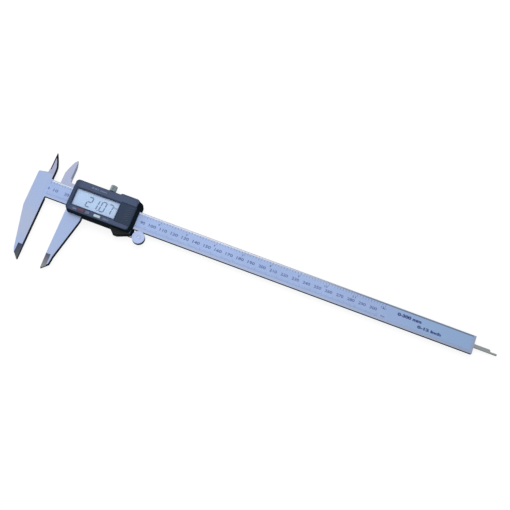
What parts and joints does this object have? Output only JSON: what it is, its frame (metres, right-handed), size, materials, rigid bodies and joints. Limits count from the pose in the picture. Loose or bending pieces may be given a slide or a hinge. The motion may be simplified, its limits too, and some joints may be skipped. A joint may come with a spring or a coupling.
{
  "type": "digital caliper",
  "caption": "Digital caliper with fixed and sliding outside jaws, inside blades, depth rod, sliding display unit, lock screw and thumb roller.",
  "frame": {"origin": "centre of the fixed jaw's outside measuring face (the plane of zero opening), halfway through its 4 mm thickness", "axes": "+X out of that face, along the beam towards the depth rod (opening direction of the slider), +Y across the beam towards the inside blades, +Z out of the display"},
  "size_m": [0.4207, 0.0996, 0.0148],
  "materials": {
    "ground_steel": "ground and lapped, fine straight grain along the beam",
    "scale_print": "matt satin strip with printed graduations",
    "circuit_board": "glass-fibre board, solder mask",
    "dark_steel": "dark oxide steel, knurled or turned",
    "brass_gib": "drawn brass strip",
    "roller_steel": "turned face, knurled rim",
    "spring_steel": "spring steel strip",
    "housing_plastic": "fine-grained moulded black plastic",
    "cover_plastic": "matt moulded black plastic with ridges",
    "window": "clear flat window",
    "lcd": "liquid crystal panel, pale grey-blue",
    "silver_film": "reflective film",
    "rubber": "moulded silicone rubber",
    "black_component": "moulded component body",
    "holder_plastic": "white moulded plastic",
    "button_red": "moulded plastic key",
    "button_grey": "moulded plastic key",
    "button_white": "moulded plastic key",
    "cell_steel": "plated steel can"
  },
  "bodies": {
    "beam": {"beam_with_fixed_jaw": "ground_steel", "scale_board": "circuit_board", "scale_strip": "scale_print", "end_stop_plate": "ground_steel", "end_stop_screw_1": "dark_steel", "end_stop_screw_2": "dark_steel"},
    "slider": {"back_cover": "ground_steel", "battery_contact_minus": "spring_steel", "battery_contact_plus": "spring_steel", "bracket_screw": "dark_steel", "button_cell": "cell_steel", "contact_strip_lower": "rubber", "contact_strip_upper": "rubber", "controller_chip": "black_component", "data_port_contacts": "black_component", "depth_rod": "ground_steel", "depth_rod_screw": "dark_steel", "display_window": "window", "gib_screw_1": "dark_steel", "gib_screw_2": "dark_steel", "housing": "housing_plastic", "housing_screw_1": "dark_steel", "housing_screw_2": "dark_steel", "housing_screw_3": "dark_steel", "housing_screw_4": "dark_steel", "key_pad": "rubber", "lcd_glass": "lcd", "lcd_holder": "holder_plastic", "lcd_reflector": "silver_film", "power_switch": "black_component", "roller_bracket": "spring_steel", "roller_pin": "dark_steel", "sensor_board": "circuit_board", "slider_frame": "ground_steel", "units_switch": "black_component", "zero_switch": "black_component"},
    "gib": {"gib_strip": "brass_gib"},
    "lock_screw": {"lock_screw": "dark_steel"},
    "thumb_roller": {"thumb_roller": "roller_steel"},
    "power_button": {"power_button": "button_red"},
    "units_button": {"units_button": "button_grey"},
    "zero_button": {"zero_button": "button_white"},
    "battery_cover": {"battery_cover": "cover_plastic"},
    "data_port_cover": {"data_port_cover": "cover_plastic"}
  },
  "joints": [
    {"name": "slider_travel", "type": "slide", "parent": "beam", "child": "slider", "axis": [1, 0, 0], "range_m": [-0.02105, 0.28093]},
    {"name": "roller_spin", "type": "hinge", "parent": "slider", "child": "thumb_roller", "pos_m": [0.088, 0.0243, 0.00075], "axis": [0, 0, 1], "continuous": true},
    {"name": "lock_screw_turn", "type": "hinge", "parent": "gib", "child": "lock_screw", "pos_m": [0.0513, 0.054, 0], "axis": [0, -1, 0], "range_deg": [0, 120]},
    {"name": "gib_press", "type": "slide", "parent": "slider", "child": "gib", "axis": [0, -1, 0], "range_m": [0, 0.00015]},
    {"name": "power_button_press", "type": "slide", "parent": "slider", "child": "power_button", "axis": [0, 0, -1], "range_m": [0, 0.0005], "stiffness_N_per_m": 2000},
    {"name": "units_button_press", "type": "slide", "parent": "slider", "child": "units_button", "axis": [0, 0, -1], "range_m": [0, 0.0005], "stiffness_N_per_m": 2000},
    {"name": "zero_button_press", "type": "slide", "parent": "slider", "child": "zero_button", "axis": [0, 0, -1], "range_m": [0, 0.0005], "stiffness_N_per_m": 2000},
    {"name": "battery_cover_slide", "type": "slide", "parent": "slider", "child": "battery_cover", "axis": [1, 0, 0], "range_m": [0, 0.0125]},
    {"name": "data_port_cover_slide", "type": "slide", "parent": "slider", "child": "data_port_cover", "axis": [1, 0, 0], "range_m": [0, 0.008]}
  ],
  "couplings": [
    {"joint": "roller_spin", "follows": "slider_travel", "rad_per_m": 175.44},
    {"joint": "lock_screw_turn", "follows": "gib_press", "rad_per_m": 13962}
  ]
}
